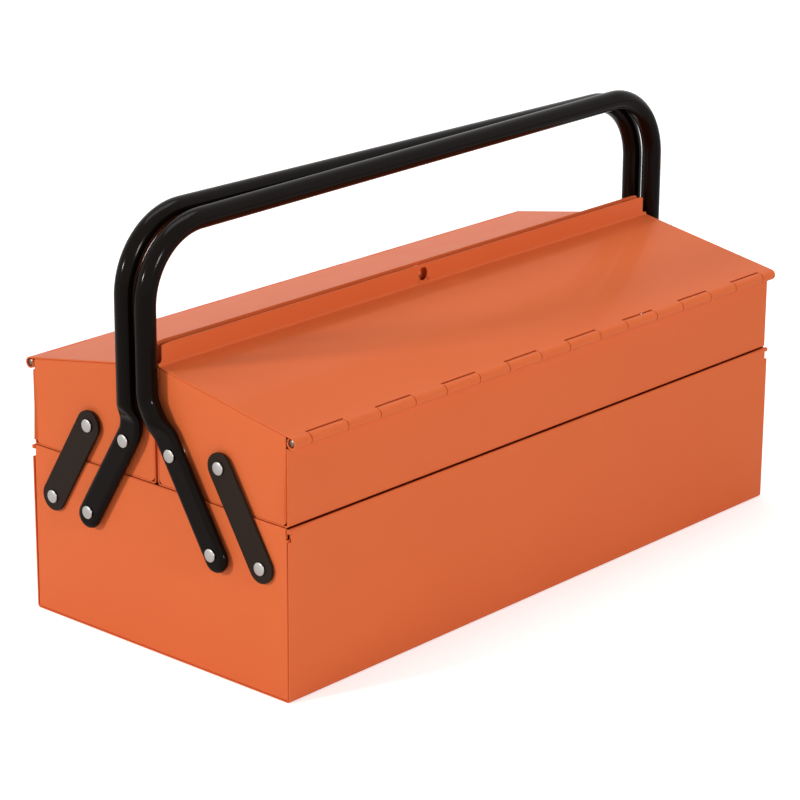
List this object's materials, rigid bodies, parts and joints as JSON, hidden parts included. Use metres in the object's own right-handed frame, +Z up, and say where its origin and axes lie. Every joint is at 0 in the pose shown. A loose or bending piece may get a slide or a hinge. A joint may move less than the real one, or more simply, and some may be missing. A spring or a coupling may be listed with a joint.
{
  "type": "cantilever tool box",
  "caption": "Sheet steel tool box whose lidded trays swing out sideways on parallel arms when its tube handles are spread apart.",
  "frame": {"origin": "on the ground under the middle of the box", "axes": "+X along the box's length, +Y from the front long side to the back one, +Z up"},
  "size_m": [0.454, 0.2084, 0.2521],
  "materials": {
    "paint": "gloss orange enamel",
    "handle_black": "gloss black enamel",
    "link_black": "satin black enamel",
    "zinc": "bright zinc plate"
  },
  "bodies": {
    "base": {"base_shell": "paint", "base_end_left": "paint", "base_end_right": "paint", "base_handle_rivets": "zinc", "base_link_rivets": "zinc"},
    "front_handle": {"front_handle": "handle_black"},
    "front_link_left": {"front_link_left": "link_black"},
    "front_link_right": {"front_link_right": "link_black"},
    "front_tray": {"front_tray_shell": "paint", "front_tray_end_left": "paint", "front_tray_end_right": "paint", "front_hinge_pin": "zinc", "front_tray_handle_rivets": "zinc", "front_tray_link_rivets": "zinc", "front_tray_washers": "zinc"},
    "front_lid": {"front_lid": "paint"},
    "back_handle": {"back_handle": "handle_black"},
    "back_link_left": {"back_link_left": "link_black"},
    "back_link_right": {"back_link_right": "link_black"},
    "back_tray": {"back_tray_shell": "paint", "back_tray_end_left": "paint", "back_tray_end_right": "paint", "back_hinge_pin": "zinc", "back_tray_handle_rivets": "zinc", "back_tray_link_rivets": "zinc", "back_tray_washers": "zinc"},
    "back_lid": {"back_lid": "paint"}
  },
  "joints": [
    {"name": "front_handle_swing", "type": "hinge", "parent": "base", "child": "front_handle", "pos_m": [0, -0.048, 0.073], "axis": [1, 0, 0], "range_deg": [0, 62.95]},
    {"name": "front_tray_level", "type": "hinge", "parent": "front_handle", "child": "front_tray", "pos_m": [0, -0.018, 0.122], "axis": [1, 0, 0], "range_deg": [-62.95, 0]},
    {"name": "front_link_left_swing", "type": "hinge", "parent": "base", "child": "front_link_left", "pos_m": [-0.2164, -0.081, 0.073], "axis": [1, 0, 0], "range_deg": [0, 62.95]},
    {"name": "front_link_right_swing", "type": "hinge", "parent": "base", "child": "front_link_right", "pos_m": [0.2164, -0.081, 0.073], "axis": [1, 0, 0], "range_deg": [0, 62.95]},
    {"name": "front_lid_hinge", "type": "hinge", "parent": "front_tray", "child": "front_lid", "pos_m": [0, -0.10095, 0.1467], "axis": [1, 0, 0], "range_deg": [0, 230]},
    {"name": "back_handle_swing", "type": "hinge", "parent": "base", "child": "back_handle", "pos_m": [0, 0.048, 0.073], "axis": [-1, 0, 0], "range_deg": [0, 62.95]},
    {"name": "back_tray_level", "type": "hinge", "parent": "back_handle", "child": "back_tray", "pos_m": [0, 0.018, 0.122], "axis": [-1, 0, 0], "range_deg": [-62.95, 0]},
    {"name": "back_link_left_swing", "type": "hinge", "parent": "base", "child": "back_link_left", "pos_m": [-0.2164, 0.081, 0.073], "axis": [-1, 0, 0], "range_deg": [0, 62.95]},
    {"name": "back_link_right_swing", "type": "hinge", "parent": "base", "child": "back_link_right", "pos_m": [0.2164, 0.081, 0.073], "axis": [-1, 0, 0], "range_deg": [0, 62.95]},
    {"name": "back_lid_hinge", "type": "hinge", "parent": "back_tray", "child": "back_lid", "pos_m": [0, 0.10095, 0.1467], "axis": [-1, 0, 0], "range_deg": [0, 230]}
  ],
  "couplings": [
    {"joint": "front_tray_level", "follows": "front_handle_swing", "ratio": -1},
    {"joint": "front_link_left_swing", "follows": "front_handle_swing", "ratio": 1},
    {"joint": "front_link_right_swing", "follows": "front_handle_swing", "ratio": 1},
    {"joint": "back_tray_level", "follows": "back_handle_swing", "ratio": -1},
    {"joint": "back_link_left_swing", "follows": "back_handle_swing", "ratio": 1},
    {"joint": "back_link_right_swing", "follows": "back_handle_swing", "ratio": 1}
  ]
}
